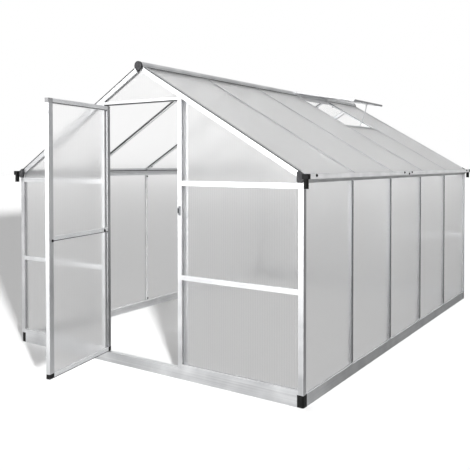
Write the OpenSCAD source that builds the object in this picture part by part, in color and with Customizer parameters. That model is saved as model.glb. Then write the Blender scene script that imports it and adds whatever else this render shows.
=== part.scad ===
// Walk-in greenhouse: aluminium frame, twin-wall panes, gabled roof, hinged door, one raised roof vent.
// Millimetres. +X right, +Y away from the door gable, +Z up. The origin is on the ground under the
// middle of the front base rail.

/* [House] */
// Width of the base frame over its outer faces
base_w = 2400; // [1800:10:3000]
// Length of the base frame over its outer faces
base_l = 3300; // [1400:10:4000]
// Number of equal bays along each side
bays = 5; // [4:1:6]
// Height of the eave beam's underside above the ground
eave_z = 1225; // [1100:5:1500]
// Slope of the roof in degrees
roof_deg = 30; // [25:0.1:35]

/* [Sheet] */
// Thickness of every pane
pane_t = 4; // [3:0.5:6]
// Depth a pane's edge enters the frame
lap = 7; // [5:0.5:9]
// Gap between a pane's edge and the web of a glazing bar
pane_gap = 1; // [0.5:0.1:2]
// Gap between the roof panes and the eave beam's sloping top
seat_gap = 0.2; // [0.1:0.05:0.5]
// Wall thickness of the aluminium profiles
wall = 2; // [1.2:0.1:2.5]

/* [Base] */
// Height of the base rail
base_h = 68; // [50:1:90]
// Depth of the base rail and of every frame member of the walls
base_d = 30; // [26:1:40]
// Height of the return lips on the base rail's open side
base_lip = 12; // [6:1:20]
// Length of a corner foot along each wall
foot_w = 40; // [36:1:60]
// Chamfer of a corner foot's outer edge
foot_ch = 8; // [2:0.5:12]

/* [Walls] */
// Width of a corner post on the gable face
post_w = 33; // [26:1:45]
// Height of the sill rail on the base of a gable
sill_h = 26; // [20:1:40]
// Height of the middle and eave rails of a gable
rail_h = 31; // [24:1:40]
// Height of the middle rail's centre line above the ground
mid_z = 630; // [500:5:800]
// Width of a glazing bar's flange
bar_w = 14; // [12:0.5:24]
// Depth of a glazing bar's inner leg
bar_leg = 18; // [10:1:30]
// Side of the bolt channel on a glazing bar's leg
bar_slot = 8; // [6:0.5:12]

/* [Doorway] */
// Clear width between the two door jambs
door_gap_w = 634; // [560:2:700]
// Width of a door jamb on the gable face
jamb_w = 31; // [26:1:45]
// Width of the flange that a door jamb lays over the inner side of the rails
jamb_flange = 28; // [16:1:40]
// Gap between the door head and the rafters at the jambs' inner faces
head_gap = 6; // [4:0.5:20]
// Height of the door head rail
head_h = 23; // [20:1:30]
// Height of the latch keeper's lower end above the ground
keeper_z = 1011; // [900:5:1200]
// Length of the latch keeper
keeper_h = 61; // [40:1:90]
// Width of the latch keeper
keeper_w = 16; // [10:1:24]

/* [Roof] */
// Height of the eave beam's outer face
eave_h = 46; // [36:1:60]
// Width of the bolt slot in the eave beam's inner face
eave_slot = 6; // [4:0.5:8]
// Height of the bolt slot's lower edge above the eave beam's underside
eave_slot_z = 24; // [18:1:32]
// Depth of the end rafters square to the roof
rafter_d = 36; // [30:1:45]
// Radius of the round ridge tube
ridge_r = 28; // [24:0.5:34]
// Height of the ridge tube's point below its centre
ridge_drop = 36; // [34:0.5:44]
// Drop of the ridge tube's centre below the point where the roof planes meet
ridge_sink = 8.5; // [4:0.5:14]
// Distance of the ridge's glazing lips from the roof planes' meeting line, along the slope
ridge_lip = 40; // [36:0.5:50]
// Thickness of the ridge and eave end caps
cap_t = 14; // [8:1:20]
// Overhang of the roof panes past the eave beam's outer face
drip = 9; // [4:0.5:14]

/* [Gutter] */
// Width of the gutter outside the eave beam
gutter_w = 40; // [30:1:60]
// Height of the gutter's underside above the eave beam's underside
gutter_up = 22; // [14:1:30]
// Height of the gutter's outer lip
gutter_lip = 26; // [16:1:34]
// Height of the gutter's back wall
gutter_back = 17; // [10:0.5:22]
// Diameter of the lip's rolled edge
gutter_bead = 5; // [3:0.5:8]
// Radius of a down spout
spout_r = 14; // [10:0.5:16]
// Radius of the throat from the gutter into a down spout
throat_r = 5; // [3:0.5:7]
// Length of a down spout below the gutter
spout_l = 52; // [30:1:80]

/* [Door] */
// Angle the door stands open
door_open = 78; // [0:0.5:90]
// Clearance round the door
door_clear = 5; // [5:0.5:8]
// Thickness of the door
door_t = 26; // [22:0.5:28]
// Width of a door stile
stile_w = 38; // [30:1:50]
// Height of a door rail
door_rail_h = 28; // [20:1:40]
// Height of the door's middle rail centre above the ground
door_mid_z = 890; // [700:5:1000]
// Height of a stile's end cap
door_cap_h = 28; // [16:1:40]
// Radius of the door's pivot pins
pin_r = 5; // [4:0.1:7]
// Radial clearance of a pin in its bush
pin_clear = 0.05; // [0.02:0.01:0.1]
// Wall of a pivot bush
bush_wall = 4; // [3:0.1:5]
// Length of a pivot bush
bush_l = 14; // [10:0.5:16]
// Depth a pivot pin enters its bush
pin_in = 10; // [6:0.5:12]

/* [Vent] */
// Bay with the roof vent, counted from the door gable
vent_bay = 4; // [2:1:5]
// Angle the vent sash is raised off the roof
vent_open = 20; // [5:0.5:40]
// Distance of the vent opening's lower edge from the roof planes' meeting line, along the slope
vent_l = 600; // [400:5:700]
// Width of the trimmer under the vent opening
trim_w = 26; // [20:1:40]
// Width of the sash's side and bottom rails
sash_w = 24; // [16:1:34]
// Depth of the sash rails
sash_d = 16; // [12:0.5:22]
// Distance the sash's lower edge laps over the trimmer
sash_lap = 10; // [4:0.5:16]
// Thickness of the sash's hook over the ridge tube
hook_t = 2.5; // [1.5:0.1:4]
// Width of the stay bar
stay_w = 14; // [8:0.5:20]
// Thickness of the stay bar
stay_t = 4; // [2:0.5:6]
// Arc of the stay bar in degrees
stay_arc = 43; // [30:0.5:50]
// Clearance of the stay bar from the trimmer
stay_clear = 8; // [4:0.5:14]

/* [Hidden] */
$fn = 64;

xo = base_w / 2;
xi = xo - base_d;
xp = xo - base_d / 2;
yf = -base_d / 2;
yr = yf + base_l;
bay = base_l / bays;
slope = tan(roof_deg);
lean = cos(roof_deg);
half_t = pane_t / 2;
roof_z = eave_z + eave_h + slope * xo + half_t / lean;
ridge_z = roof_z - ridge_sink;
flange = half_t + wall;
rafter_n = flange - rafter_d;
roof_end = (xo + drip) / lean;
jamb_x = door_gap_w / 2;
head_z = roof_z - slope * jamb_x + rafter_n / lean - head_gap - head_h;
panel_x0 = jamb_x + jamb_w;
panel_x1 = xo - post_w;
sill_z = base_h + sill_h;
eave_rail_z = eave_z - rail_h;
far = 3 * base_w;
door_z0 = base_h + door_clear;
door_z1 = head_z - door_clear;
nose_r = door_t / 2;
axis_x = -jamb_x + door_clear + nose_r;
door_reach = door_gap_w - 2 * door_clear - nose_r;
stile_in = stile_w - nose_r;
door_rail_l = door_reach - stile_w - stile_in;
vent_y0 = yf + (vent_bay - 1) * bay + bar_w / 2;
vent_w = bay - bar_w;
vent_slope = roof_deg - vent_open;
sash_l = vent_l + sash_lap;
sash_n1 = ridge_r + hook_t + wall;
sash_n0 = sash_n1 - sash_d;
hinge_s1 = ridge_lip;
stay_r = vent_l - stay_clear;

module right_and_left() {
    children();
    mirror([1, 0, 0]) children();
}

module to_rear() {
    translate([0, yf + yr, 0]) mirror([0, 1, 0]) children();
}

module on_slope() {
    translate([0, 0, roof_z]) rotate([0, roof_deg, 0]) children();
}

module along_x(l) {
    rotate([90, 0, 90]) linear_extrude(l) children();
}

module along_y(l) {
    rotate([90, 0, 180]) linear_extrude(l) children();
}

// Flat plate in the gable's middle plane, drawn as x and height
module gable_sheet() {
    translate([0, half_t, 0]) rotate([90, 0, 0]) linear_extrude(pane_t) children();
}

// Everything above the rafters' underside, on both slopes
module over_rafters() {
    right_and_left() on_slope() translate([-base_d, -base_d, rafter_n]) cube([far, 2 * base_d, far]);
}

// Base rail section: x from the outer face inwards, y up, with a pane groove in its top if glazed
module base_2d(glazed) {
    difference() {
        union() {
            square([wall, base_h]);
            square([base_d, wall]);
            translate([0, base_h - wall]) square([base_d, wall]);
            translate([base_d - wall, 0]) square([wall, base_lip]);
            translate([base_d - wall, base_h - base_lip]) square([wall, base_lip]);
            if (glazed) translate([base_d / 2 - half_t - wall, base_h - lap - wall])
                square([pane_t + 2 * wall, lap + wall]);
        }
        if (glazed) translate([base_d / 2 - half_t, base_h - lap]) square([pane_t, 2 * lap]);
    }
}

// Hollow rail section of the gables: x is the depth, y is up, grooved above and below as told
module rail_2d(h, below, above) {
    low = below ? lap + wall : wall;
    high = above ? lap + wall : wall;
    translate([-base_d / 2, 0]) difference() {
        square([base_d, h]);
        if (h - low - high > wall) translate([wall, low]) square([base_d - 2 * wall, h - low - high]);
        if (below) translate([base_d / 2 - half_t, -lap]) square([pane_t, 2 * lap]);
        if (above) translate([base_d / 2 - half_t, h - lap]) square([pane_t, 2 * lap]);
    }
}

// Glazing bar section: x across, y outwards from the middle of the pane
module bar_outer_2d() {
    translate([-bar_w / 2, half_t]) square([bar_w, wall]);
    translate([-wall / 2, -half_t]) square([wall, pane_t + wall]);
}

module bar_inner_2d() {
    translate([-bar_w / 2, -flange]) square([bar_w, wall]);
    translate([-wall / 2, -flange - bar_leg]) square([wall, bar_leg + wall]);
    translate([-bar_slot / 2, -flange - bar_leg]) difference() {
        square([bar_slot, bar_slot]);
        translate([wall, -wall]) square([bar_slot - 2 * wall, bar_slot]);
    }
}

module base_front() color("silver") difference() {
    translate([foot_w - xo, yf, 0]) along_x(base_w - 2 * foot_w) base_2d(false);
    translate([axis_x, 0, base_h - bush_l]) cylinder(r = pin_r + bush_wall, h = 2 * bush_l);
}

module base_rear() color("silver")
    to_rear() translate([foot_w - xo, yf, 0]) along_x(base_w - 2 * foot_w) base_2d(false);

module base_side() {
    translate([xo, yf + foot_w, 0]) along_y(base_l - 2 * foot_w) base_2d(true);
}

module base_right() color("silver") base_side();

module base_left() color("silver") mirror([1, 0, 0]) base_side();

// Moulded corner foot, hollow from below, with the pane groove of the side wall in its top
module foot() {
    translate([xo, yf, 0]) mirror([1, 0, 0]) difference() {
        linear_extrude(base_h) difference() {
            square([foot_w, foot_w]);
            translate([base_d, base_d]) square([foot_w, foot_w]);
            polygon([[0, 0], [foot_ch, 0], [0, foot_ch]]);
        }
        translate([foot_ch, foot_ch, -wall])
            cube([base_d - foot_ch - 2 * wall, base_d - foot_ch - 2 * wall, base_h - lap]);
        translate([base_d / 2 - half_t, base_d - lap, base_h - lap]) cube([pane_t, foot_w, 2 * lap]);
    }
}

module base_feet() color("#262626") right_and_left() {
    foot();
    to_rear() foot();
}

// Corner post with one groove for the gable panes and one for the wall panes
module post() {
    translate([xo, yf, base_h]) mirror([1, 0, 0]) linear_extrude(eave_z - base_h) difference() {
        square([post_w, base_d]);
        translate([wall, wall]) square([post_w - lap - 2 * wall, base_d - lap - 2 * wall]);
        translate([post_w - lap, base_d / 2 - half_t]) square([2 * lap, pane_t]);
        translate([base_d / 2 - half_t, base_d - lap]) square([pane_t, 2 * lap]);
    }
}

module corner_posts() color("silver") right_and_left() {
    post();
    to_rear() post();
}

module gable_rails(z, h, below, above) {
    right_and_left() translate([panel_x0, 0, z]) along_x(panel_x1 - panel_x0) rail_2d(h, below, above);
}

module front_sills() color("silver") gable_rails(base_h, sill_h, false, true);

module rear_sills() color("silver") to_rear() gable_rails(base_h, sill_h, false, true);

module front_mid_rails() color("silver") gable_rails(mid_z - rail_h / 2, rail_h, true, true);

module rear_mid_rails() color("silver") to_rear() gable_rails(mid_z - rail_h / 2, rail_h, true, true);

module front_eave_rails() color("silver") gable_rails(eave_rail_z, rail_h, true, true);

module rear_eave_rails() color("silver") to_rear() gable_rails(eave_rail_z, rail_h, true, true);

// Upright beside the doorway, grooved on its outer side and flanged within, cut off under the rafter
module upright(inner_groove) {
    difference() {
        translate([jamb_x, yf, base_h]) linear_extrude(roof_z) difference() {
            union() {
                square([jamb_w, base_d]);
                translate([0, base_d]) square([jamb_w + jamb_flange, wall]);
            }
            translate([lap + wall, wall]) square([jamb_w - 2 * lap - 2 * wall, base_d - 2 * wall]);
            translate([jamb_w - lap, base_d / 2 - half_t]) square([2 * lap, pane_t]);
            if (inner_groove) translate([-lap, base_d / 2 - half_t]) square([2 * lap, pane_t]);
        }
        over_rafters();
    }
}

module door_jambs() color("silver") right_and_left() upright(false);

module head_rail(below) {
    translate([-jamb_x, 0, head_z]) along_x(door_gap_w) rail_2d(head_h, below, true);
}

module door_head() color("silver") difference() {
    head_rail(false);
    translate([axis_x, 0, head_z - bush_l]) cylinder(r = pin_r + bush_wall, h = 2 * bush_l);
}

// Plastic bush for a door pivot, drawn with its mouth at height 0
module bush() {
    difference() {
        cylinder(r = pin_r + bush_wall, h = bush_l);
        translate([0, 0, -bush_l]) cylinder(r = pin_r + pin_clear, h = 3 * bush_l);
    }
}

module door_bushes() color("#262626") translate([axis_x, 0, 0]) {
    translate([0, 0, base_h - bush_l]) bush();
    translate([0, 0, head_z]) bush();
}

module latch_keeper() color("gray")
    translate([jamb_x + (jamb_w - keeper_w) / 2, yf - wall, keeper_z]) {
        cube([keeper_w, wall, keeper_h]);
        translate([0, -keeper_w / 2, keeper_h / 4]) cube([wall, keeper_w / 2, keeper_h / 2]);
    }

module rear_posts() color("silver") to_rear() right_and_left() upright(true);

module rear_head() color("silver") to_rear() {
    head_rail(true);
    translate([-jamb_x, 0, base_h]) along_x(door_gap_w) rail_2d(sill_h, false, true);
}

module panel_sheet(z0, z1) {
    right_and_left() gable_sheet()
        translate([panel_x0 - lap, z0 - lap]) square([panel_x1 - panel_x0 + 2 * lap, z1 - z0 + 2 * lap]);
}

module lower_sheets() {
    panel_sheet(sill_z, mid_z - rail_h / 2);
    panel_sheet(mid_z + rail_h / 2, eave_rail_z);
}

function rake_z(x) = roof_z - slope * x + (rafter_n + lap) / lean;

// Sheets over the eave rails and over the head, running up into the rafters' grooves
module upper_sheets() {
    x0 = panel_x0 - lap;
    top_z = ridge_z - ridge_drop;
    top_x = (rake_z(0) - top_z) / slope;
    right_and_left() gable_sheet()
        polygon([[x0, eave_z - lap], [xi, eave_z - lap], [xi, rake_z(xi)], [x0, rake_z(x0)]]);
    gable_sheet() polygon([
        [-jamb_x, head_z + head_h - lap], [jamb_x, head_z + head_h - lap], [jamb_x, rake_z(jamb_x)],
        [top_x, top_z], [-top_x, top_z], [-jamb_x, rake_z(jamb_x)]]);
}

module front_panes() color([0.8, 0.8, 0.8, 0.6]) lower_sheets();

module front_gable_panes() color([0.8, 0.8, 0.8, 0.6]) upper_sheets();

module rear_panes() color([0.8, 0.8, 0.8, 0.6]) to_rear() {
    lower_sheets();
    gable_sheet() translate([-jamb_x - lap, sill_z - lap])
        square([door_gap_w + 2 * lap, head_z - sill_z + 2 * lap]);
}

module rear_gable_panes() color([0.8, 0.8, 0.8, 0.6]) to_rear() upper_sheets();

module wall_bars() {
    for (k = [1 : bays - 1])
        translate([xp, yf + k * bay, base_h]) linear_extrude(eave_z - base_h) rotate(-90) {
            bar_outer_2d();
            bar_inner_2d();
        }
}

module wall_bars_right() color("silver") wall_bars();

module wall_bars_left() color("silver") mirror([1, 0, 0]) wall_bars();

function pane_y0(k, edge) = k == 0 ? yf + base_d - edge : yf + k * bay + wall / 2 + pane_gap;
function pane_y1(k, edge) = k == bays - 1 ? yr - base_d + edge : yf + (k + 1) * bay - wall / 2 - pane_gap;

module wall_panes() {
    for (k = [0 : bays - 1])
        translate([xp - half_t, pane_y0(k, lap), base_h - lap])
            cube([pane_t, pane_y1(k, lap) - pane_y0(k, lap), eave_z - base_h + 2 * lap]);
}

module wall_panes_right() color([0.8, 0.8, 0.8, 0.6]) wall_panes();

module wall_panes_left() color([0.8, 0.8, 0.8, 0.6]) mirror([1, 0, 0]) wall_panes();

// Eave beam section: x from the outer face inwards, y up from the underside, top cut to the roof slope
module eave_2d() {
    rise = slope * base_d;
    difference() {
        polygon([[0, 0], [base_d, 0], [base_d, eave_h + rise - seat_gap], [0, eave_h - seat_gap]]);
        translate([wall, lap + wall]) square([base_d - 2 * wall, eave_h - lap - 3 * wall]);
        translate([base_d / 2 - half_t, -lap]) square([pane_t, 2 * lap]);
        translate([base_d / 2, eave_slot_z]) square([base_d, eave_slot]);
    }
}

module eave() {
    translate([xo, yf, eave_z]) along_y(base_l) eave_2d();
}

module eave_right() color("silver") eave();

module eave_left() color("silver") mirror([1, 0, 0]) eave();

// Faceted cap on an eave beam's end
module eave_cap() {
    rise = slope * base_d;
    rim = 3 * wall;
    translate([xo, yf - cap_t, eave_z + wall]) along_y(cap_t) polygon([
        [-rim, 2 * rim], [rim, 0], [base_d, 0], [base_d + rim, rim],
        [base_d + rim, eave_h + rise - rim], [base_d - rim, eave_h + rise + wall], [-rim, eave_h]]);
}

module eave_caps() color("#3a3a3a") right_and_left() {
    eave_cap();
    to_rear() eave_cap();
}

// Gutter section: x outwards from the eave beam's face, y up from the eave beam's underside
module gutter_2d() {
    translate([0, gutter_up]) {
        square([gutter_w, wall]);
        square([wall, gutter_back]);
        translate([gutter_w - wall, 0]) square([wall, gutter_lip]);
        translate([gutter_w - gutter_bead / 2, gutter_lip]) circle(d = gutter_bead);
    }
}

module gutter() {
    translate([xo, yr, eave_z]) rotate([90, 0, 0]) linear_extrude(base_l) gutter_2d();
}

module gutter_right() color("silver") gutter();

module gutter_left() color("silver") mirror([1, 0, 0]) gutter();

// End piece that closes a gutter's end, with a throat from the gutter to the down spout below it
module outlet() {
    spout_x = xo + gutter_w / 2 + 2 * wall;
    spout_y = yf - spout_r - wall;
    floor_z = eave_z + gutter_up;
    throat_z = floor_z + wall + throat_r;
    difference() {
        union() {
            translate([xo + 3 * wall, yf - 2 * spout_r - 2 * wall, floor_z])
                cube([gutter_w - 2 * wall, 2 * spout_r + 2 * wall, gutter_lip + gutter_bead / 2]);
            translate([spout_x, spout_y, floor_z - spout_l]) cylinder(r = spout_r, h = spout_l);
        }
        translate([spout_x, spout_y, throat_z]) rotate([-90, 0, 0]) cylinder(r = throat_r, h = 2 * spout_r);
        translate([spout_x, spout_y, floor_z - 2 * spout_l])
            cylinder(r = spout_r - wall, h = 2 * spout_l + 2 * wall + 2 * throat_r);
    }
}

module gutter_outlets() color("#262626") right_and_left() {
    outlet();
    to_rear() outlet();
}

// End rafter section: x is the depth from the gable's middle, y outwards from the middle of the pane
module rafter_2d() {
    difference() {
        translate([yf, rafter_n]) square([base_d, rafter_d]);
        translate([yf + wall, rafter_n + lap + wall]) square([base_d - 2 * wall, rafter_d - lap - 4 * wall - pane_t]);
        translate([-half_t, rafter_n - lap]) square([pane_t, 2 * lap]);
        translate([base_d / 2 - lap, -half_t]) square([2 * lap, pane_t]);
    }
}

// What reaches past the inner face of an eave beam
module past_eave() {
    translate([xi, -base_l, 0]) cube([far, 3 * base_l, far]);
}

module rafter() {
    difference() {
        on_slope() translate([ridge_lip, 0, 0]) along_x(roof_end) rafter_2d();
        past_eave();
    }
}

module front_rafters() color("silver") right_and_left() rafter();

module rear_rafters() color("silver") to_rear() right_and_left() rafter();

module roof_bar() {
    difference() {
        on_slope() translate([ridge_lip, 0, 0]) along_x(roof_end) bar_inner_2d();
        past_eave();
    }
    on_slope() translate([ridge_lip, 0, 0]) along_x(roof_end - ridge_lip) bar_outer_2d();
}

module roof_bars() {
    for (k = [1 : bays - 1]) translate([0, yf + k * bay, 0]) roof_bar();
}

module roof_bars_right() color("silver") roof_bars();

module roof_bars_left() color("silver") mirror([1, 0, 0]) roof_bars();

module roof_pane(k, s0) {
    on_slope() translate([s0, pane_y0(k, lap), -half_t])
        cube([roof_end - s0, pane_y1(k, lap) - pane_y0(k, lap), pane_t]);
}

module roof_panes_right() color([0.8, 0.8, 0.8, 0.6])
    for (k = [0 : bays - 1]) roof_pane(k, k == vent_bay - 1 ? vent_l + trim_w - lap : ridge_lip - lap);

module roof_panes_left() color([0.8, 0.8, 0.8, 0.6])
    mirror([1, 0, 0]) for (k = [0 : bays - 1]) roof_pane(k, ridge_lip - lap);

// Outline of the ridge tube about its centre: a circle with a pointed underside
module shield_2d(r, drop) {
    circle(r);
    polygon([[-drop / 2, -drop / 2], [0, -drop], [drop / 2, -drop / 2]]);
}

// Ridge section about the tube's centre, with a slot on each side for the roof panes
module ridge_2d() {
    difference() {
        union() {
            shield_2d(ridge_r, ridge_drop);
            for (a = [-roof_deg, 180 + roof_deg]) translate([0, ridge_sink]) rotate(a)
                translate([ridge_r - wall, -flange]) square([ridge_lip - ridge_r + wall, 2 * flange]);
        }
        shield_2d(ridge_r - wall, ridge_drop - 2 * wall);
        for (a = [-roof_deg, 180 + roof_deg]) translate([0, ridge_sink]) rotate(a)
            translate([ridge_lip - lap, -half_t]) square([2 * lap, pane_t]);
    }
}

module ridge() color("darkgray")
    translate([0, yr, ridge_z]) rotate([90, 0, 0]) linear_extrude(base_l) ridge_2d();

module ridge_cap() {
    translate([0, yf, ridge_z]) rotate([90, 0, 0]) linear_extrude(cap_t)
        shield_2d(ridge_r + wall / 2, ridge_drop + wall);
}

module ridge_caps() color("#4a4a4a") {
    ridge_cap();
    to_rear() ridge_cap();
}

// Trimmer section under the vent opening: x down the slope, y outwards from the middle of the pane
module trimmer_2d() {
    difference() {
        translate([vent_l, -flange]) square([trim_w, 2 * flange]);
        translate([vent_l + trim_w - lap, -half_t]) square([2 * lap, pane_t]);
    }
    translate([vent_l, -flange - bar_leg]) square([wall, bar_leg]);
    translate([vent_l + wall, -flange - bar_leg]) square([bar_slot, wall]);
}

module vent_trimmer() color("silver")
    on_slope() translate([0, vent_y0 + vent_w, 0]) rotate([90, 0, 0]) linear_extrude(vent_w) trimmer_2d();

// Frame of the raised sash: it turns about the ridge tube's centre
module on_sash() {
    translate([0, vent_y0, ridge_z]) rotate([0, vent_slope, 0]) children();
}

// Section of the sash's hinge rail, hooked over the ridge tube
module hook_2d() {
    difference() {
        union() {
            intersection() {
                circle(ridge_r + hook_t);
                translate([-ridge_r / 2, sash_n0]) square([2 * ridge_r, 2 * ridge_r]);
            }
            translate([ridge_r / 2, sash_n0]) square([hinge_s1 - ridge_r / 2, sash_d]);
        }
        circle(ridge_r);
        translate([hinge_s1 - lap, sash_n1 - wall - pane_t]) square([2 * lap, pane_t]);
    }
}

// Section of the sash's other rails: x from the outer edge inwards, y is the depth
module sash_2d() {
    difference() {
        translate([0, sash_n0]) square([sash_w, sash_d]);
        translate([wall, sash_n0 - wall]) square([sash_w - 2 * wall, sash_d - pane_t - 2 * wall]);
        translate([sash_w - lap, sash_n1 - wall - pane_t]) square([2 * lap, pane_t]);
    }
}

module vent_frame() color("silver") on_sash() {
    translate([0, vent_w, 0]) rotate([90, 0, 0]) linear_extrude(vent_w) hook_2d();
    translate([hinge_s1, 0, 0]) along_x(sash_l - hinge_s1) sash_2d();
    translate([hinge_s1, vent_w, 0]) mirror([0, 1, 0]) along_x(sash_l - hinge_s1) sash_2d();
    translate([sash_l, sash_w, 0]) along_y(vent_w - 2 * sash_w) sash_2d();
}

module vent_pane() color([0.8, 0.8, 0.8, 0.6]) on_sash()
    translate([hinge_s1 - lap, sash_w - lap, sash_n1 - wall - pane_t])
        cube([sash_l - sash_w + 2 * lap - hinge_s1, vent_w - 2 * sash_w + 2 * lap, pane_t]);

// Curved stay bar, bent about the sash's turning line, with a bracket under the sash's lower rail
module vent_stay() color("white") on_sash() translate([0, vent_w / 2, 0]) {
    rotate([90, 0, 0]) rotate(-stay_arc) rotate_extrude(angle = stay_arc, $fn = 256)
        translate([stay_r - stay_t, -stay_w / 2]) square([stay_t, stay_w]);
    translate([stay_r - stay_t - wall, -stay_w / 2 - wall, -2 * wall])
        cube([stay_t + 2 * wall, stay_w + 2 * wall, sash_n0 + 2 * wall]);
}

// Everything on the door is drawn about its turning line: x along the door, y through it
module on_door() {
    translate([axis_x, 0, 0]) rotate([0, 0, -door_open]) children();
}

// Hinge stile in plan, with a half-round edge on the turning line
module hinge_stile_2d() {
    circle(nose_r);
    translate([0, -nose_r]) square([stile_in, door_t]);
}

module door_hinge_stile() color("silver") on_door()
    translate([0, 0, door_z0 + door_cap_h]) linear_extrude(door_z1 - door_z0 - 2 * door_cap_h) difference() {
        hinge_stile_2d();
        circle(nose_r - wall);
        translate([0, wall - nose_r]) square([stile_in - lap - wall, door_t - 2 * wall]);
        translate([stile_in - lap, -half_t]) square([2 * lap, pane_t]);
    }

module door_latch_stile() color("silver") on_door()
    translate([door_reach, -nose_r, door_z0 + door_cap_h]) mirror([1, 0, 0])
        linear_extrude(door_z1 - door_z0 - 2 * door_cap_h) difference() {
            square([stile_w, door_t]);
            translate([wall, wall]) square([stile_w - lap - 2 * wall, door_t - 2 * wall]);
            translate([stile_w - lap, nose_r - half_t]) square([2 * lap, pane_t]);
        }

module door_rail_2d(below, above) {
    low = below ? lap + wall : wall;
    high = above ? lap + wall : wall;
    difference() {
        translate([-nose_r, 0]) square([door_t, door_rail_h]);
        translate([wall - nose_r, low]) square([door_t - 2 * wall, door_rail_h - low - high]);
        if (below) translate([-half_t, -lap]) square([pane_t, 2 * lap]);
        if (above) translate([-half_t, door_rail_h - lap]) square([pane_t, 2 * lap]);
    }
}

module door_rails() color("silver") on_door() translate([stile_in, 0, 0]) {
    translate([0, 0, door_z0]) along_x(door_rail_l) door_rail_2d(false, true);
    translate([0, 0, door_mid_z - door_rail_h / 2]) along_x(door_rail_l) door_rail_2d(true, true);
    translate([0, 0, door_z1 - door_rail_h]) along_x(door_rail_l) door_rail_2d(true, false);
}

module door_sheet(z0, z1) {
    translate([stile_in - lap, -half_t, z0 - lap])
        cube([door_rail_l + 2 * lap, pane_t, z1 - z0 + 2 * lap]);
}

module door_panes() color([0.8, 0.8, 0.8, 0.6]) on_door() {
    door_sheet(door_z0 + door_rail_h, door_mid_z - door_rail_h / 2);
    door_sheet(door_mid_z + door_rail_h / 2, door_z1 - door_rail_h);
}

// End caps of the two stiles, grooved for the pane's corners, with the pivot pin on the hinge side
module stile_caps() {
    difference() {
        union() {
            linear_extrude(door_cap_h) hinge_stile_2d();
            translate([0, 0, -door_clear - pin_in]) cylinder(r = pin_r, h = 2 * (door_clear + pin_in));
            translate([door_reach - stile_w, -nose_r, 0]) cube([stile_w, door_t, door_cap_h]);
        }
        translate([stile_in - lap, -half_t, door_rail_h - lap])
            cube([door_rail_l + 2 * lap, pane_t, door_cap_h]);
    }
}

module door_feet() color("#262626") on_door() translate([0, 0, door_z0]) stile_caps();

module door_tops() color("gray") on_door() translate([0, 0, door_z1]) mirror([0, 0, 1]) stile_caps();

base_front();
base_rear();
base_left();
base_right();
base_feet();
corner_posts();
front_sills();
rear_sills();
front_mid_rails();
rear_mid_rails();
front_eave_rails();
rear_eave_rails();
door_jambs();
door_head();
door_bushes();
latch_keeper();
rear_posts();
rear_head();
front_panes();
front_gable_panes();
rear_panes();
rear_gable_panes();
wall_bars_left();
wall_bars_right();
wall_panes_left();
wall_panes_right();
eave_left();
eave_right();
eave_caps();
gutter_left();
gutter_right();
gutter_outlets();
front_rafters();
rear_rafters();
roof_bars_left();
roof_bars_right();
roof_panes_left();
roof_panes_right();
ridge();
ridge_caps();
vent_trimmer();
vent_frame();
vent_pane();
vent_stay();
door_hinge_stile();
door_latch_stile();
door_rails();
door_panes();
door_feet();
door_tops();
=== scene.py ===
import math

import bpy
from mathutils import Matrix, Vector


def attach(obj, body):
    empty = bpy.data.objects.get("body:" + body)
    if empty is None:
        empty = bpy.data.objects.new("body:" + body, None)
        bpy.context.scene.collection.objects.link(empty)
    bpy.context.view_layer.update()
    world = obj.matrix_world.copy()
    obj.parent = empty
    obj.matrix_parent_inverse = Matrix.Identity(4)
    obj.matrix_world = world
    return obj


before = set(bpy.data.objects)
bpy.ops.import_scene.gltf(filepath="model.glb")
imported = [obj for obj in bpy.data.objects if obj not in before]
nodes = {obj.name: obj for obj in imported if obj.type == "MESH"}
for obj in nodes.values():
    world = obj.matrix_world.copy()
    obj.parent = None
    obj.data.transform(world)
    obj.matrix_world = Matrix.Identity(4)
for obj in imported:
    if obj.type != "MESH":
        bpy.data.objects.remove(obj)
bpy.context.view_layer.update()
scene = bpy.context.scene
scene.view_settings.view_transform = "Standard"

# The camera that was fitted to the photograph: frame, focal length and middle in pixels, place and turns.
IMAGE = 470
FOCAL = 621.74
MIDDLE_X, MIDDLE_Y = 260.14, 175.0
SENSOR = 36
EYE = (2.8112, -2.9611, 1.3305)
EYE_DOWN = math.radians(1.05)
EYE_LEFT = math.radians(32.68)

# Sizes of the house that the small pieces follow, in metres.
DOOR_OPEN = math.radians(78)
ROOF_SLOPE = math.radians(30)
HINGE_LINE = Vector((-0.299, 0.0, 0.0))
HOUSE_MIDDLE = (0.0, 1.65, 0.0)
SIDES = (1, -1)
BAYS = 5
ROOF_TOP = 1.9661
BAR_DEPTH = 0.022
BAR_HALF = 0.009
SHEET = 0.004
LEAF_HALF = 0.013
FLUTE = 0.016
SEAL = 0.003
THIN_SEAL = 0.002

# Bolts: widths across the flats, and places along the pieces that carry them.
BAR_BOLT = 0.010
BAR_BOLT_HEIGHTS = (0.086, 1.213)
BAR_BOLT_RUNS = (0.11, 1.29)
GUTTER_BOLT = 0.011
GUTTER_JOINT = 1.533
GUTTER_BOLTS = ((0.06, 1.266), (GUTTER_JOINT - 0.08, 1.266), (GUTTER_JOINT + 0.08, 1.266),
                (GUTTER_JOINT + 0.02, 1.256), (3.2, 1.264))
KEEPER_SCREW = 0.006
KEEPER_INSET = 0.011
DOOR_BOLT = 0.011
DOOR_BOLTS = ((0.581, 0.879), (0.062, 0.888))

# Seals: where they start and end along the pieces that carry them.
ROOF_SEAL_RUN = (0.06, 1.33)
ROOF_SEAL_EDGES = (-0.005, 0.005)
WALL_SEAL_HEIGHTS = (0.075, 1.222)
EAVE_SEAL_HEIGHT = 1.267
EAVE_SEAL_INSET = 0.02
RAFTER_SEAL_RUN = (0.05, 1.36)
DOOR_RAIL_RUN = (0.025, 0.573)
DOOR_RAIL_FEET = (0.073, 0.876, 1.6842)

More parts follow.
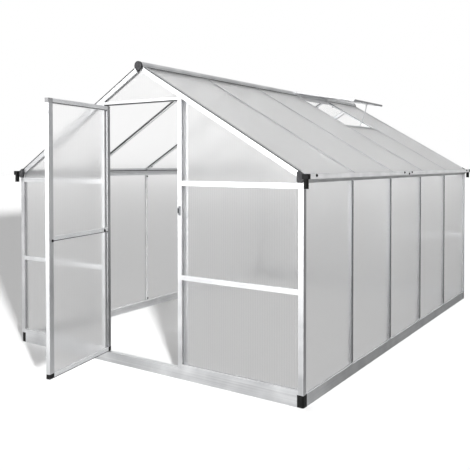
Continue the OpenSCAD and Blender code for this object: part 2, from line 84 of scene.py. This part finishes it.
# The pieces that throw shade on the floor outside and on the floor inside.
OUTER_SHADE = ["wall_panes_left", "roof_panes_left", "wall_bars_left", "base_left", "eave_left",
               "roof_bars_left", "base_front", "door_panes", "door_rails", "door_hinge_stile",
               "door_latch_stile", "door_feet", "base_feet"]
INNER_SHADE = ["front_panes", "front_gable_panes", "front_sills", "base_front", "door_jambs", "corner_posts",
               "wall_panes_right", "base_right"]


def linear(code):
    """sRGB hex code to a linear colour."""
    parts = [int(code[i:i + 2], 16) / 255 for i in (1, 3, 5)]
    return [p / 12.92 if p <= 0.04045 else ((p + 0.055) / 1.055) ** 2.4 for p in parts] + [1.0]


def add(tree, kind, inputs=None, **settings):
    """Adds a node; inputs holds values, (node, output) pairs to link, or a list of such pairs."""
    made = tree.nodes.new(kind)
    for name, value in settings.items():
        setattr(made, name, value)
    for socket, value in (inputs or {}).items():
        for source in value if isinstance(value, list) and isinstance(value[0], tuple) else [value]:
            if isinstance(source, tuple) and isinstance(source[0], bpy.types.Node):
                tree.links.new(source[0].outputs[source[1]], made.inputs[socket])
            else:
                made.inputs[socket].default_value = source
    return made


def new_material(name):
    material = bpy.data.materials.new(name)
    material.use_nodes = True
    material.node_tree.nodes.clear()
    return material, material.node_tree


# Extruded aluminium, mill finish: a satin grey-white metal with soft streaks along the pressing direction,
# so its faces turn from white to mid grey with what they look at.
def extruded_aluminium(name, run, dark="#D3D4D6", light="#E9EAEB", turn=(0, 0, 0), metal=1.0):
    material, tree = new_material(name)
    place = add(tree, "ShaderNodeTexCoord")
    # Streaks are 6 mm wide and about 0.6 m long; the die lines of the real one are too fine to show.
    stretch = [166.0 if axis != run else 1.6 for axis in "xyz"]
    lie = add(tree, "ShaderNodeMapping", {"Vector": (place, "Object"), "Scale": stretch, "Rotation": turn})
    streak = add(tree, "ShaderNodeTexNoise", {"Vector": (lie, 0), "Scale": 1.0, "Detail": 3.0})
    # Handling marks and dulling in patches about 120 mm across.
    cloud = add(tree, "ShaderNodeTexNoise", {"Vector": (place, "Object"), "Scale": 8.0, "Detail": 4.0})
    both = add(tree, "ShaderNodeMath", {0: (streak, 0), 1: (cloud, 0)}, operation="ADD")
    spread = add(tree, "ShaderNodeMapRange", {"Value": (both, 0), "From Min": 0.7, "From Max": 1.3})
    colour = add(tree, "ShaderNodeMix", {"Factor": (spread, 0), "A": linear(dark), "B": linear(light)},
                 data_type="RGBA")
    gloss = add(tree, "ShaderNodeMapRange", {"Value": (both, 0), "From Min": 0.7, "From Max": 1.3,
                                             "To Min": 0.36, "To Max": 0.5})
    relief = add(tree, "ShaderNodeBump", {"Height": (streak, 0), "Strength": 0.12, "Distance": 0.0004})
    skin = add(tree, "ShaderNodeBsdfPrincipled", {
        "Base Color": (colour, "Result"), "Metallic": metal, "Roughness": (gloss, 0), "Normal": (relief, 0)})
    add(tree, "ShaderNodeOutputMaterial", {"Surface": (skin, 0)})
    return material


# Extruded twin-wall plastic sheet: milky, so that it blurs what is behind it, with flutes whose webs show as
# fine, slightly darker lines along the sheet.
def twin_wall_sheet(name, across, turn=(0, 0, 0), clear=0.26, milky=0.36, web="#F4F4F4", through=0.97):
    material, tree = new_material(name)
    place = add(tree, "ShaderNodeTexCoord")
    lie = add(tree, "ShaderNodeMapping", {"Vector": (place, "Object"), "Rotation": turn})
    # The flutes of the real sheet are about 6 mm apart; they are drawn 16 mm apart so that they show.
    flute = add(tree, "ShaderNodeTexWave", {"Vector": (lie, 0), "Scale": math.tau / (20 * FLUTE),
                                            "Distortion": 0.0}, wave_type="BANDS", bands_direction=across)
    # Haze in soft clouds about 0.4 m across.
    haze = add(tree, "ShaderNodeTexNoise", {"Vector": (place, "Object"), "Scale": 2.5, "Detail": 3.0})
    colour = add(tree, "ShaderNodeMix", {"Factor": (flute, "Fac"), "A": linear(web),
                                         "B": linear("#FFFFFF")}, data_type="RGBA")
    gloss = add(tree, "ShaderNodeMapRange", {"Value": (haze, 0), "To Min": clear, "To Max": milky})
    relief = add(tree, "ShaderNodeBump", {"Height": (flute, "Fac"), "Strength": 0.15, "Distance": FLUTE / 25})
    skin = add(tree, "ShaderNodeBsdfPrincipled", {
        "Base Color": (colour, "Result"), "Roughness": (gloss, 0), "IOR": 1.12,
        "Transmission Weight": through, "Normal": (relief, 0)})
    add(tree, "ShaderNodeOutputMaterial", {"Surface": (skin, 0)})
    return material


# Injection-moulded plastic: dull, with a fine spark-eroded grain and paler rubbed patches.
def moulded_plastic(name, colour_dark, colour_worn):
    material, tree = new_material(name)
    place = add(tree, "ShaderNodeTexCoord")
    # Grain of 1.5 mm, coarser than the real 0.2 mm so that it shows.
    grain = add(tree, "ShaderNodeTexNoise", {"Vector": (place, "Object"), "Scale": 660.0, "Detail": 2.0})
    rub = add(tree, "ShaderNodeTexNoise", {"Vector": (place, "Object"), "Scale": 60.0, "Detail": 3.0})
    worn = add(tree, "ShaderNodeMapRange", {"Value": (rub, 0), "From Min": 0.45, "From Max": 0.75})
    colour = add(tree, "ShaderNodeMix", {"Factor": (worn, 0), "A": linear(colour_dark),
                                         "B": linear(colour_worn)}, data_type="RGBA")
    gloss = add(tree, "ShaderNodeMapRange", {"Value": (rub, 0), "To Min": 0.42, "To Max": 0.62})
    relief = add(tree, "ShaderNodeBump", {"Height": (grain, 0), "Strength": 0.25, "Distance": 0.0003})
    skin = add(tree, "ShaderNodeBsdfPrincipled", {
        "Base Color": (colour, "Result"), "Roughness": (gloss, 0), "Specular IOR Level": 0.2,
        "Normal": (relief, 0)})
    add(tree, "ShaderNodeOutputMaterial", {"Surface": (skin, 0)})
    return material


# Rolled steel, zinc plated: grey metal with faint mottling.
def plated_steel(name, dark, light):
    material, tree = new_material(name)
    place = add(tree, "ShaderNodeTexCoord")
    mottle = add(tree, "ShaderNodeTexNoise", {"Vector": (place, "Object"), "Scale": 250.0, "Detail": 3.0})
    colour = add(tree, "ShaderNodeMix", {"Factor": (mottle, 0), "A": linear(dark), "B": linear(light)},
                 data_type="RGBA")
    gloss = add(tree, "ShaderNodeMapRange", {"Value": (mottle, 0), "To Min": 0.28, "To Max": 0.45})
    skin = add(tree, "ShaderNodeBsdfPrincipled", {
        "Base Color": (colour, "Result"), "Metallic": 1.0, "Roughness": (gloss, 0)})
    add(tree, "ShaderNodeOutputMaterial", {"Surface": (skin, 0)})
    return material


upright = extruded_aluminium("aluminium_upright", "z")
# A darker copy of the aluminium on the corner posts and the door's latch stile: painted shade.
post_shade_metal = extruded_aluminium("aluminium_posts_painted_shade", "z", dark="#C8C9CB", light="#DEDFE0")
crosswise = extruded_aluminium("aluminium_crosswise", "x")
lengthwise = extruded_aluminium("aluminium_lengthwise", "y")
raking_right = extruded_aluminium("aluminium_raking_right", "x", turn=(0, -ROOF_SLOPE, 0))
raking_left = extruded_aluminium("aluminium_raking_left", "x", turn=(0, ROOF_SLOPE, 0))
# A paler, half-metallic copy of the aluminium on the door's rails: painted light.
door_rail_lit_metal = extruded_aluminium("aluminium_door_rail_painted_light", "x", dark="#DADBDD", light="#F2F3F4",
                                     turn=(0, 0, DOOR_OPEN), metal=0.5)
# A paler copy of the aluminium on the ridge: painted light.
ridge_lit_metal = extruded_aluminium("aluminium_ridge_painted_light", "y", dark="#DADBDD", light="#F2F3F4")
# Dull, pale, nearly non-metallic copies of the aluminium: painted light, so that these pieces stay pale where
# the mirror-like profiles turn dark.
lit_dull_lengthwise = extruded_aluminium("aluminium_gutter_painted_light", "y", dark="#D6D7D8", light="#F0F0F1", metal=0.2)
lit_dull_upright = extruded_aluminium("aluminium_dull_upright", "z", dark="#D6D7D8", light="#F0F0F1", metal=0.2)
lit_dull_raking = extruded_aluminium("aluminium_dull_raking", "x", dark="#CFD0D2", light="#E3E4E5",
                                 turn=(0, -ROOF_SLOPE, 0), metal=0.2)
shaded_upright = extruded_aluminium("aluminium_shaded_upright", "z", dark="#ABACAE", light="#C2C3C5")
# A darker copy of the aluminium on the door's hinge stile: painted shade.
hinge_shade_metal = extruded_aluminium("aluminium_hinge_stile_painted_shade", "z", dark="#969799", light="#AEAFB1")
gable_sheet = twin_wall_sheet("twin_wall_gable", "X")
high_gable_sheet = twin_wall_sheet("twin_wall_high_gable", "X", clear=0.34, milky=0.42, web="#FBFBFB")
left_roof_sheet = twin_wall_sheet("twin_wall_left_roof", "Y", clear=0.09, milky=0.14, web="#FBFBFB",
                                  through=1.0)
side_sheet = twin_wall_sheet("twin_wall_side", "Y", web="#FAFAFA")
door_sheet = twin_wall_sheet("twin_wall_door", "X", turn=(0, 0, DOOR_OPEN), web="#F9F9F9")
black_plastic = moulded_plastic("moulded_plastic_black", "#0C0C0C", "#1C1C1C")
grey_plastic = moulded_plastic("moulded_plastic_grey", "#3E3E40", "#58585A")
pale_plastic = moulded_plastic("moulded_plastic_pale", "#98989A", "#B0B0B2")
# Steel and rubber fittings: small grey, black and dull dark marks on the pale frame; some of the rubber beads
# are painted shade lines.
keeper_steel = plated_steel("plated_steel_keeper", "#7E7F82", "#A4A5A8")
bolt_steel = plated_steel("plated_steel_bolts", "#8A8B8D", "#B8B9BB")
bolt_black = plated_steel("blackened_steel_bolts", "#222224", "#3C3C3E")
seal_rubber = moulded_plastic("seal_rubber", "#1C1C1C", "#343434")

FINISHES = {
    upright: ["door_jambs", "rear_posts"],
    post_shade_metal: ["corner_posts", "door_latch_stile"],
    shaded_upright: ["wall_bars_right"],
    lit_dull_upright: ["wall_bars_left"],
    lit_dull_raking: ["vent_stay"],
    hinge_shade_metal: ["door_hinge_stile"],
    crosswise: ["base_front", "base_rear", "front_sills", "rear_sills", "front_mid_rails", "rear_mid_rails",
                "front_eave_rails", "rear_eave_rails", "door_head", "rear_head"],
    lengthwise: ["base_right", "eave_left", "eave_right", "vent_trimmer"],
    lit_dull_lengthwise: ["gutter_left", "gutter_right", "base_left"],
    raking_right: ["roof_bars_right", "front_rafters", "rear_rafters", "vent_frame"],
    raking_left: ["roof_bars_left"],
    door_rail_lit_metal: ["door_rails"],
    ridge_lit_metal: ["ridge"],
    gable_sheet: ["front_panes", "rear_panes", "rear_gable_panes"],
    high_gable_sheet: ["front_gable_panes"],
    side_sheet: ["wall_panes_left", "wall_panes_right", "roof_panes_right", "vent_pane"],
    left_roof_sheet: ["roof_panes_left"],
    door_sheet: ["door_panes"],
    black_plastic: ["base_feet", "door_bushes", "gutter_outlets", "door_feet"],
    grey_plastic: ["eave_caps", "ridge_caps"],
    pale_plastic: ["door_tops"],
    keeper_steel: ["latch_keeper"],
}
for finish, names in FINISHES.items():
    for name in names:
        nodes[name].data.materials.clear()
        nodes[name].data.materials.append(finish)


# Bolts and seals, grown from points and lines by node trees.
def box(name):
    """Lowest and highest corner of a CAD node."""
    columns = list(zip(*(v.co for v in nodes[name].data.vertices)))
    return Vector([min(c) for c in columns]), Vector([max(c) for c in columns])


def node_tree(name, size, value):
    """A geometry node tree with one named size and a material as inputs."""
    tree = bpy.data.node_groups.new(name, "GeometryNodeTree")
    tree.interface.new_socket("Geometry", in_out="INPUT", socket_type="NodeSocketGeometry")
    tree.interface.new_socket(size, in_out="INPUT", socket_type="NodeSocketFloat").default_value = value
    tree.interface.new_socket("Material", in_out="INPUT", socket_type="NodeSocketMaterial")
    tree.interface.new_socket("Geometry", in_out="OUTPUT", socket_type="NodeSocketGeometry")
    return tree, add(tree, "NodeGroupInput")


# A nut on a washer with the bolt's end standing out of it, on every point, turned to the point's facing.
def bolt_tree():
    tree, given = node_tree("bolts", "Across", 0.01)
    share = {name: add(tree, "ShaderNodeMath", {0: (given, "Across"), 1: part}, operation="MULTIPLY")
             for name, part in (("corner", 0.577), ("half", 0.25), ("tall", 0.5), ("shank", 0.3), ("long", 1.3),
                                ("rim", 0.8), ("thin", 0.2))}
    nut = add(tree, "GeometryNodeMeshCylinder", {"Vertices": 6, "Radius": (share["corner"], 0),
                                                 "Depth": (share["tall"], 0)})
    rise = add(tree, "ShaderNodeCombineXYZ", {"Z": (share["half"], 0)})
    raised = add(tree, "GeometryNodeTransform", {"Geometry": (nut, "Mesh"), "Translation": (rise, 0)})
    shank = add(tree, "GeometryNodeMeshCylinder", {"Vertices": 12, "Radius": (share["shank"], 0),
                                                   "Depth": (share["long"], 0)})
    washer = add(tree, "GeometryNodeMeshCylinder", {"Vertices": 20, "Radius": (share["rim"], 0),
                                                    "Depth": (share["thin"], 0)})
    bolt = add(tree, "GeometryNodeJoinGeometry", {"Geometry": [(raised, 0), (shank, "Mesh"), (washer, "Mesh")]})
    facing = add(tree, "GeometryNodeInputNamedAttribute", {"Name": "facing"}, data_type="FLOAT_VECTOR")
    turn = add(tree, "FunctionNodeAlignRotationToVector", {"Vector": (facing, 0)}, axis="Z")
    angle = add(tree, "FunctionNodeRandomValue", {2: 0.0, 3: math.tau, "Seed": 5}, data_type="FLOAT")
    about = add(tree, "ShaderNodeCombineXYZ", {"Z": (angle, 1)})
    spin = add(tree, "FunctionNodeEulerToRotation", {0: (about, 0)})
    lie = add(tree, "FunctionNodeRotateRotation", {0: (turn, 0), 1: (spin, 0)}, rotation_space="LOCAL")
    spread = add(tree, "GeometryNodeInstanceOnPoints", {"Points": (given, "Geometry"), "Instance": (bolt, 0),
                                                        "Rotation": (lie, 0)})
    real = add(tree, "GeometryNodeRealizeInstances", {0: (spread, 0)})
    painted = add(tree, "GeometryNodeSetMaterial", {"Geometry": (real, 0), "Material": (given, "Material")})
    add(tree, "NodeGroupOutput", {"Geometry": (painted, 0)})
    return tree


# A round rubber bead along every line.
def bead_tree():
    tree, given = node_tree("beads", "Radius", 0.003)
    line = add(tree, "GeometryNodeMeshToCurve", {"Mesh": (given, "Geometry")})
    ring = add(tree, "GeometryNodeCurvePrimitiveCircle", {"Resolution": 8, "Radius": (given, "Radius")})
    bead = add(tree, "GeometryNodeCurveToMesh", {"Curve": (line, 0), "Profile Curve": (ring, 0),
                                                 "Fill Caps": True})
    real = add(tree, "GeometryNodeRealizeInstances", {0: (bead, 0)})
    painted = add(tree, "GeometryNodeSetMaterial", {"Geometry": (real, 0), "Material": (given, "Material")})
    add(tree, "NodeGroupOutput", {"Geometry": (painted, 0)})
    return tree


def grow(name, tree, mesh, values, body):
    """Runs a node tree on a mesh and keeps what it makes as a plain mesh that rides a body."""
    piece = bpy.data.objects.new(name, mesh)
    scene.collection.objects.link(piece)
    modifier = piece.modifiers.new(name, "NODES")
    modifier.node_group = tree
    for item in tree.interface.items_tree:
        if item.in_out == "INPUT" and item.name in values:
            modifier[item.identifier] = values[item.name]
    solved = piece.evaluated_get(bpy.context.evaluated_depsgraph_get())
    made = bpy.data.meshes.new_from_object(solved)
    piece.modifiers.clear()
    piece.data = made
    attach(piece, body)


def bolts(name, places, across, material, body):
    """Bolts at (point, facing) pairs."""
    mesh = bpy.data.meshes.new(name)
    mesh.from_pydata([point for point, _ in places], [], [])
    mesh.attributes.new("facing", "FLOAT_VECTOR", "POINT")
    mesh.attributes["facing"].data.foreach_set("vector", [c for _, facing in places for c in facing])
    grow(name, BOLTS, mesh, {"Across": across, "Material": material}, body)


def beads(name, lines, radius, body="house"):
    """Rubber beads along (start, end) pairs."""
    mesh = bpy.data.meshes.new(name)
    mesh.from_pydata([end for line in lines for end in line],
                     [(2 * i, 2 * i + 1) for i in range(len(lines))], [])
    grow(name, BEADS, mesh, {"Radius": radius, "Material": seal_rubber}, body)


def on_slope(side, down, out, y):
    """A point on a roof slope: down from the ridge line, out from the middle of the sheet."""
    run = down * math.cos(ROOF_SLOPE) + out * math.sin(ROOF_SLOPE)
    return Vector((side * run, y, ROOF_TOP - down * math.sin(ROOF_SLOPE) + out * math.cos(ROOF_SLOPE)))


def on_door(along, out, z):
    """A point on the open door: along the leaf from the hinge line, out of its middle."""
    c, s = math.cos(DOOR_OPEN), math.sin(DOOR_OPEN)
    return HINGE_LINE + Vector((along * c + out * s, out * c - along * s, z))


BOLTS = bolt_tree()
BEADS = bead_tree()
front_left, rear_right = box("corner_posts")
BAY = (rear_right.y - front_left.y) / BAYS
BAR_LINES = [front_left.y + BAY * k for k in range(1, BAYS)]


def make_bolts():
    # Bolts on the inner side of the glazing bars, at their ends.
    bar_face = box("wall_bars_right")[0].x
    inward = Vector((-math.sin(ROOF_SLOPE), 0, -math.cos(ROOF_SLOPE)))
    places = [((side * bar_face, y, z), (-side, 0, 0))
              for side in SIDES for y in BAR_LINES for z in BAR_BOLT_HEIGHTS]
    places += [(on_slope(side, run, -BAR_DEPTH, y), (side * inward.x, 0, inward.z))
               for side in SIDES for y in BAR_LINES for run in BAR_BOLT_RUNS]
    bolts("bar_bolts", places, BAR_BOLT, bolt_black, "house")

    # Bolts in the gutters' lips: at both ends, and round the joint of their two lengths.
    lip = box("gutter_right")[1].x
    places = [((side * lip, y, z), (side, 0, 0)) for side in SIDES for y, z in GUTTER_BOLTS]
    bolts("gutter_bolts", places, GUTTER_BOLT, bolt_black, "house")

    low, high = box("latch_keeper")
    middle = (low + high) / 2
    places = [((middle.x, low.y, z), (0, -1, 0)) for z in (low.z + KEEPER_INSET, high.z - KEEPER_INSET)]
    bolts("keeper_screws", places, KEEPER_SCREW, bolt_steel, "house")

    # Bolts through the stiles at the ends of the door's middle rail.
    places = [(on_door(along, face * LEAF_HALF, z), on_door(0, face, 0) - HINGE_LINE)
              for along, z in DOOR_BOLTS for face in SIDES]
    bolts("door_bolts", places, DOOR_BOLT, bolt_black, "door")


def make_seals():
    # Under the roof sheets, along both edges of each bar: rubber beads that are also painted shade, darkening
    # the bars where they are seen from inside.
    under = -SHEET / 2 - SEAL
    beads("roof_seals_painted_shade", [[on_slope(side, run, under, y + edge) for run in ROOF_SEAL_RUN]
                         for side in SIDES for y in BAR_LINES for edge in ROOF_SEAL_EDGES], SEAL)

    # Outside the wall sheets, along the rear edge of each bar: a thin dark bead that is painted shade, the
    # shadow line beside each bar.
    outer = box("wall_panes_right")[1].x + THIN_SEAL
    beads("wall_seals_painted_shade", [[(side * outer, y + BAR_HALF, z) for z in WALL_SEAL_HEIGHTS]
                         for side in SIDES for y in BAR_LINES], THIN_SEAL)

    # A strip along the inner face of the eave beams.
    inner = box("eave_right")[0].x
    ends = (front_left.y + EAVE_SEAL_INSET, rear_right.y - EAVE_SEAL_INSET)
    beads("eave_seals", [[(side * inner, y, EAVE_SEAL_HEIGHT) for y in ends] for side in SIDES], 2 * THIN_SEAL)

    # Along the upper edge of the front rafters.
    rafters = [v.co for v in nodes["front_rafters"].data.vertices if v.co.x > 0]
    top = max(c.x * math.sin(ROOF_SLOPE) + (c.z - ROOF_TOP) * math.cos(ROOF_SLOPE) for c in rafters)
    front = box("front_rafters")[0].y
    beads("rafter_seals", [[on_slope(side, run, top - SEAL, front) for run in RAFTER_SEAL_RUN]
                           for side in SIDES], SEAL)

    # Where the ridge's flanges grip the sheets; the right one stops at the vent.
    vent_front, vent_rear = box("vent_frame")
    flange = box("ridge")[1].x / math.cos(ROOF_SLOPE) + THIN_SEAL
    spans = [(-1, (front_left.y, rear_right.y)), (1, (front_left.y, vent_front.y)),
             (1, (vent_rear.y, rear_right.y))]
    beads("ridge_seals", [[on_slope(side, flange, SHEET / 2 + THIN_SEAL, y) for y in span]
                          for side, span in spans], THIN_SEAL)

    # Along the lower edge of the door's rails, on both faces of the leaf.
    beads("door_seals", [[on_door(along, face * LEAF_HALF, z + THIN_SEAL) for along in DOOR_RAIL_RUN]
                         for z in DOOR_RAIL_FEET for face in SIDES], THIN_SEAL, "door")

    # Along the lower edge of the door head: a dark bead that is painted shade, the shade under the head.
    low, high = box("door_head")
    beads("head_seal_painted_shade", [[(x, front, low.z + SEAL) for x in (low.x, high.x)]], SEAL)


# Floor, lights and camera.
def floor_paint(name, colour):
    """Pale paint that has its own glowing level for the rays which metal and sheets send to it."""
    material, tree = new_material(name)
    path = add(tree, "ShaderNodeLightPath")
    place = add(tree, "ShaderNodeTexCoord")
    # Through the sheets the floor glows grey near the house and white far off: the grey near the house is
    # painted shade.
    offset = add(tree, "ShaderNodeVectorMath", {0: (place, "Object"), 1: HOUSE_MIDDLE}, operation="DISTANCE")
    near_far = add(tree, "ShaderNodeMapRange", {"Value": (offset, "Value"), "From Min": 4.0, "From Max": 40.0,
                                                "To Min": 0.52, "To Max": 0.72})
    shown = add(tree, "ShaderNodeMath", {0: (path, "Is Transmission Ray"), 1: (near_far, 0)},
                operation="MULTIPLY")
    # Metal mirrors a glowing floor, bright in front of the house and darker beside it: the darker glow is
    # painted shade on the metal.
    part = add(tree, "ShaderNodeSeparateXYZ", {0: (place, "Object")})
    front_back = add(tree, "ShaderNodeMapRange", {"Value": (part, "Y"), "From Min": -0.6, "From Max": 0.6,
                                                  "To Min": 0.72, "To Max": 0.27})
    mirrored = add(tree, "ShaderNodeMath", {0: (path, "Is Glossy Ray"), 1: (front_back, 0)},
                   operation="MULTIPLY")
    level = add(tree, "ShaderNodeMath", {0: (shown, 0), 1: (mirrored, 0)}, operation="MAXIMUM")
    pale = add(tree, "ShaderNodeEmission", {"Color": (1, 1, 1, 1), "Strength": (level, 0)})
    plain = add(tree, "ShaderNodeBsdfDiffuse", {"Color": linear(colour)})
    through = add(tree, "ShaderNodeMath", {0: (path, "Is Glossy Ray"), 1: (path, "Is Transmission Ray")},
                  operation="MAXIMUM")
    paint = add(tree, "ShaderNodeMixShader", {0: (through, 0), 1: (plain, 0), 2: (pale, 0)})
    add(tree, "ShaderNodeOutputMaterial", {"Surface": (paint, 0)})
    return material


def make_floor(name, corners, faces, paint):
    mesh = bpy.data.meshes.new(name)
    mesh.from_pydata([(x, y, 0) for x, y in corners], [], faces)
    mesh.materials.append(paint)
    floor = bpy.data.objects.new(name, mesh)
    # One millimetre down, so that the floor and the undersides that stand on it don't share a plane.
    floor.location.z = -0.001
    scene.collection.objects.link(floor)
    return floor


# The floor inside the house is a piece of its own, so that it can take its light through the doorway; its paint
# is a darker grey than outside, painted shade.
def make_floors():
    reach = 60.0
    inside = [(front_left.x, front_left.y), (rear_right.x, front_left.y),
              (rear_right.x, rear_right.y), (front_left.x, rear_right.y)]
    outside = [(-reach, -reach), (reach, -reach), (reach, reach), (-reach, reach)]
    ring = [(i, (i + 1) % 4, (i + 1) % 4 + 4, i + 4) for i in range(4)]
    return (make_floor("floor", outside + inside, ring, floor_paint("floor_paint", "#F6F6F6")),
            make_floor("floor_inside", inside, [(0, 1, 2, 3)], floor_paint("floor_inside_painted_shade", "#C4C4C4")))


def make_sky():
    world = bpy.data.worlds.new("studio")
    scene.world = world
    world.use_nodes = True
    tree = world.node_tree
    tree.nodes.clear()
    path = add(tree, "ShaderNodeLightPath")
    clear = add(tree, "ShaderNodeMath", {0: (path, "Is Camera Ray"), 1: (path, "Is Transmission Ray")},
                operation="MAXIMUM")
    # Metal mirrors a bright sky in front of the house and a darker one behind it.
    towards = add(tree, "ShaderNodeTexCoord")
    part = add(tree, "ShaderNodeSeparateXYZ", {0: (towards, "Generated")})
    lower = add(tree, "ShaderNodeMath", {0: (part, "Y"), 1: (part, "Z")}, operation="SUBTRACT")
    front_back = add(tree, "ShaderNodeMapRange", {"Value": (lower, 0), "From Min": -0.3, "From Max": 0.6,
                                                  "To Min": 0.75, "To Max": 0.35})
    gloss = add(tree, "ShaderNodeMath", {0: (path, "Is Glossy Ray"), 1: (front_back, 0)}, operation="MULTIPLY")
    level = add(tree, "ShaderNodeMath", {0: (clear, 0), 1: (gloss, 0)}, operation="MAXIMUM")
    plain = add(tree, "ShaderNodeMath", {0: (path, "Is Diffuse Ray"), 1: 0.5}, operation="MULTIPLY")
    strength = add(tree, "ShaderNodeMath", {0: (level, 0), 1: (plain, 0)}, operation="MAXIMUM")
    light = add(tree, "ShaderNodeBackground", {"Color": (1, 1, 1, 1), "Strength": (strength, 0)})
    add(tree, "ShaderNodeOutputWorld", {"Surface": (light, 0)})


def make_lamp(name, kind, energy, place, target, **settings):
    light = bpy.data.lights.new(name, kind)
    light.energy = energy
    for key, value in settings.items():
        setattr(light, key, value)
    lamp = bpy.data.objects.new(name, light)
    scene.collection.objects.link(lamp)
    lamp.location = place
    lamp.rotation_euler = (Vector(target) - Vector(place)).to_track_quat("-Z", "Y").to_euler()
    return lamp


def gather(name, members, state="INCLUDE"):
    """A collection for light linking."""
    group = bpy.data.collections.new(name)
    for member in members:
        group.objects.link(member)
    for linked in group.collection_objects:
        linked.light_linking.link_state = state
    return group


def make_lamps(floors):
    # The floor outside and the floor inside each have a sun of their own, for the shadow and for the light
    # through the doorway.
    outside, inside = floors
    distance = 9
    for floor, towards, energy, blur, shade in (
            (outside, Vector((0.865, -0.505, 0.14)), 14.0, 2.5, OUTER_SHADE),
            (inside, Vector((0.736, -0.677, 0.5)), 8.0, 4.0, INNER_SHADE)):
        lamp = make_lamp(floor.name + "_sun", "SUN", energy, towards * distance, (0, 0, 0),
                         angle=math.radians(blur))
        lamp.light_linking.receiver_collection = gather(floor.name + "_lit", [floor])
        lamp.light_linking.blocker_collection = gather(floor.name + "_shade", [nodes[name] for name in shade])
    # The lamps for the house leave out the floors and two pieces that the photograph shows in shade.
    shaded = [nodes["roof_bars_left"], nodes["door_hinge_stile"]]
    not_floor = gather("not_floor", list(floors) + shaded, "EXCLUDE")
    softbox = make_lamp("softbox", "AREA", 370, (-2.0, -7.5, 2.2), (0, 0, 0.9),
                        shape="RECTANGLE", size=6.0, size_y=4.0)
    softbox.light_linking.receiver_collection = not_floor
    sun = make_lamp("sun", "SUN", 1.2, (4.5, -5.0, 7.0), (0, 0, 0), angle=math.radians(12))
    sun.light_linking.receiver_collection = not_floor


def make_camera():
    camera = bpy.data.cameras.new("camera")
    camera.sensor_fit = "HORIZONTAL"
    camera.sensor_width = SENSOR
    camera.lens = FOCAL / IMAGE * SENSOR
    camera.shift_x = (IMAGE / 2 - MIDDLE_X) / IMAGE
    camera.shift_y = (MIDDLE_Y - IMAGE / 2) / IMAGE
    camera.clip_end = 200
    holder = bpy.data.objects.new("camera", camera)
    scene.collection.objects.link(holder)
    holder.location = EYE
    holder.rotation_euler = (math.radians(90) - EYE_DOWN, 0, EYE_LEFT)
    scene.camera = holder


make_bolts()
make_seals()
make_sky()
make_lamps(make_floors())
make_camera()
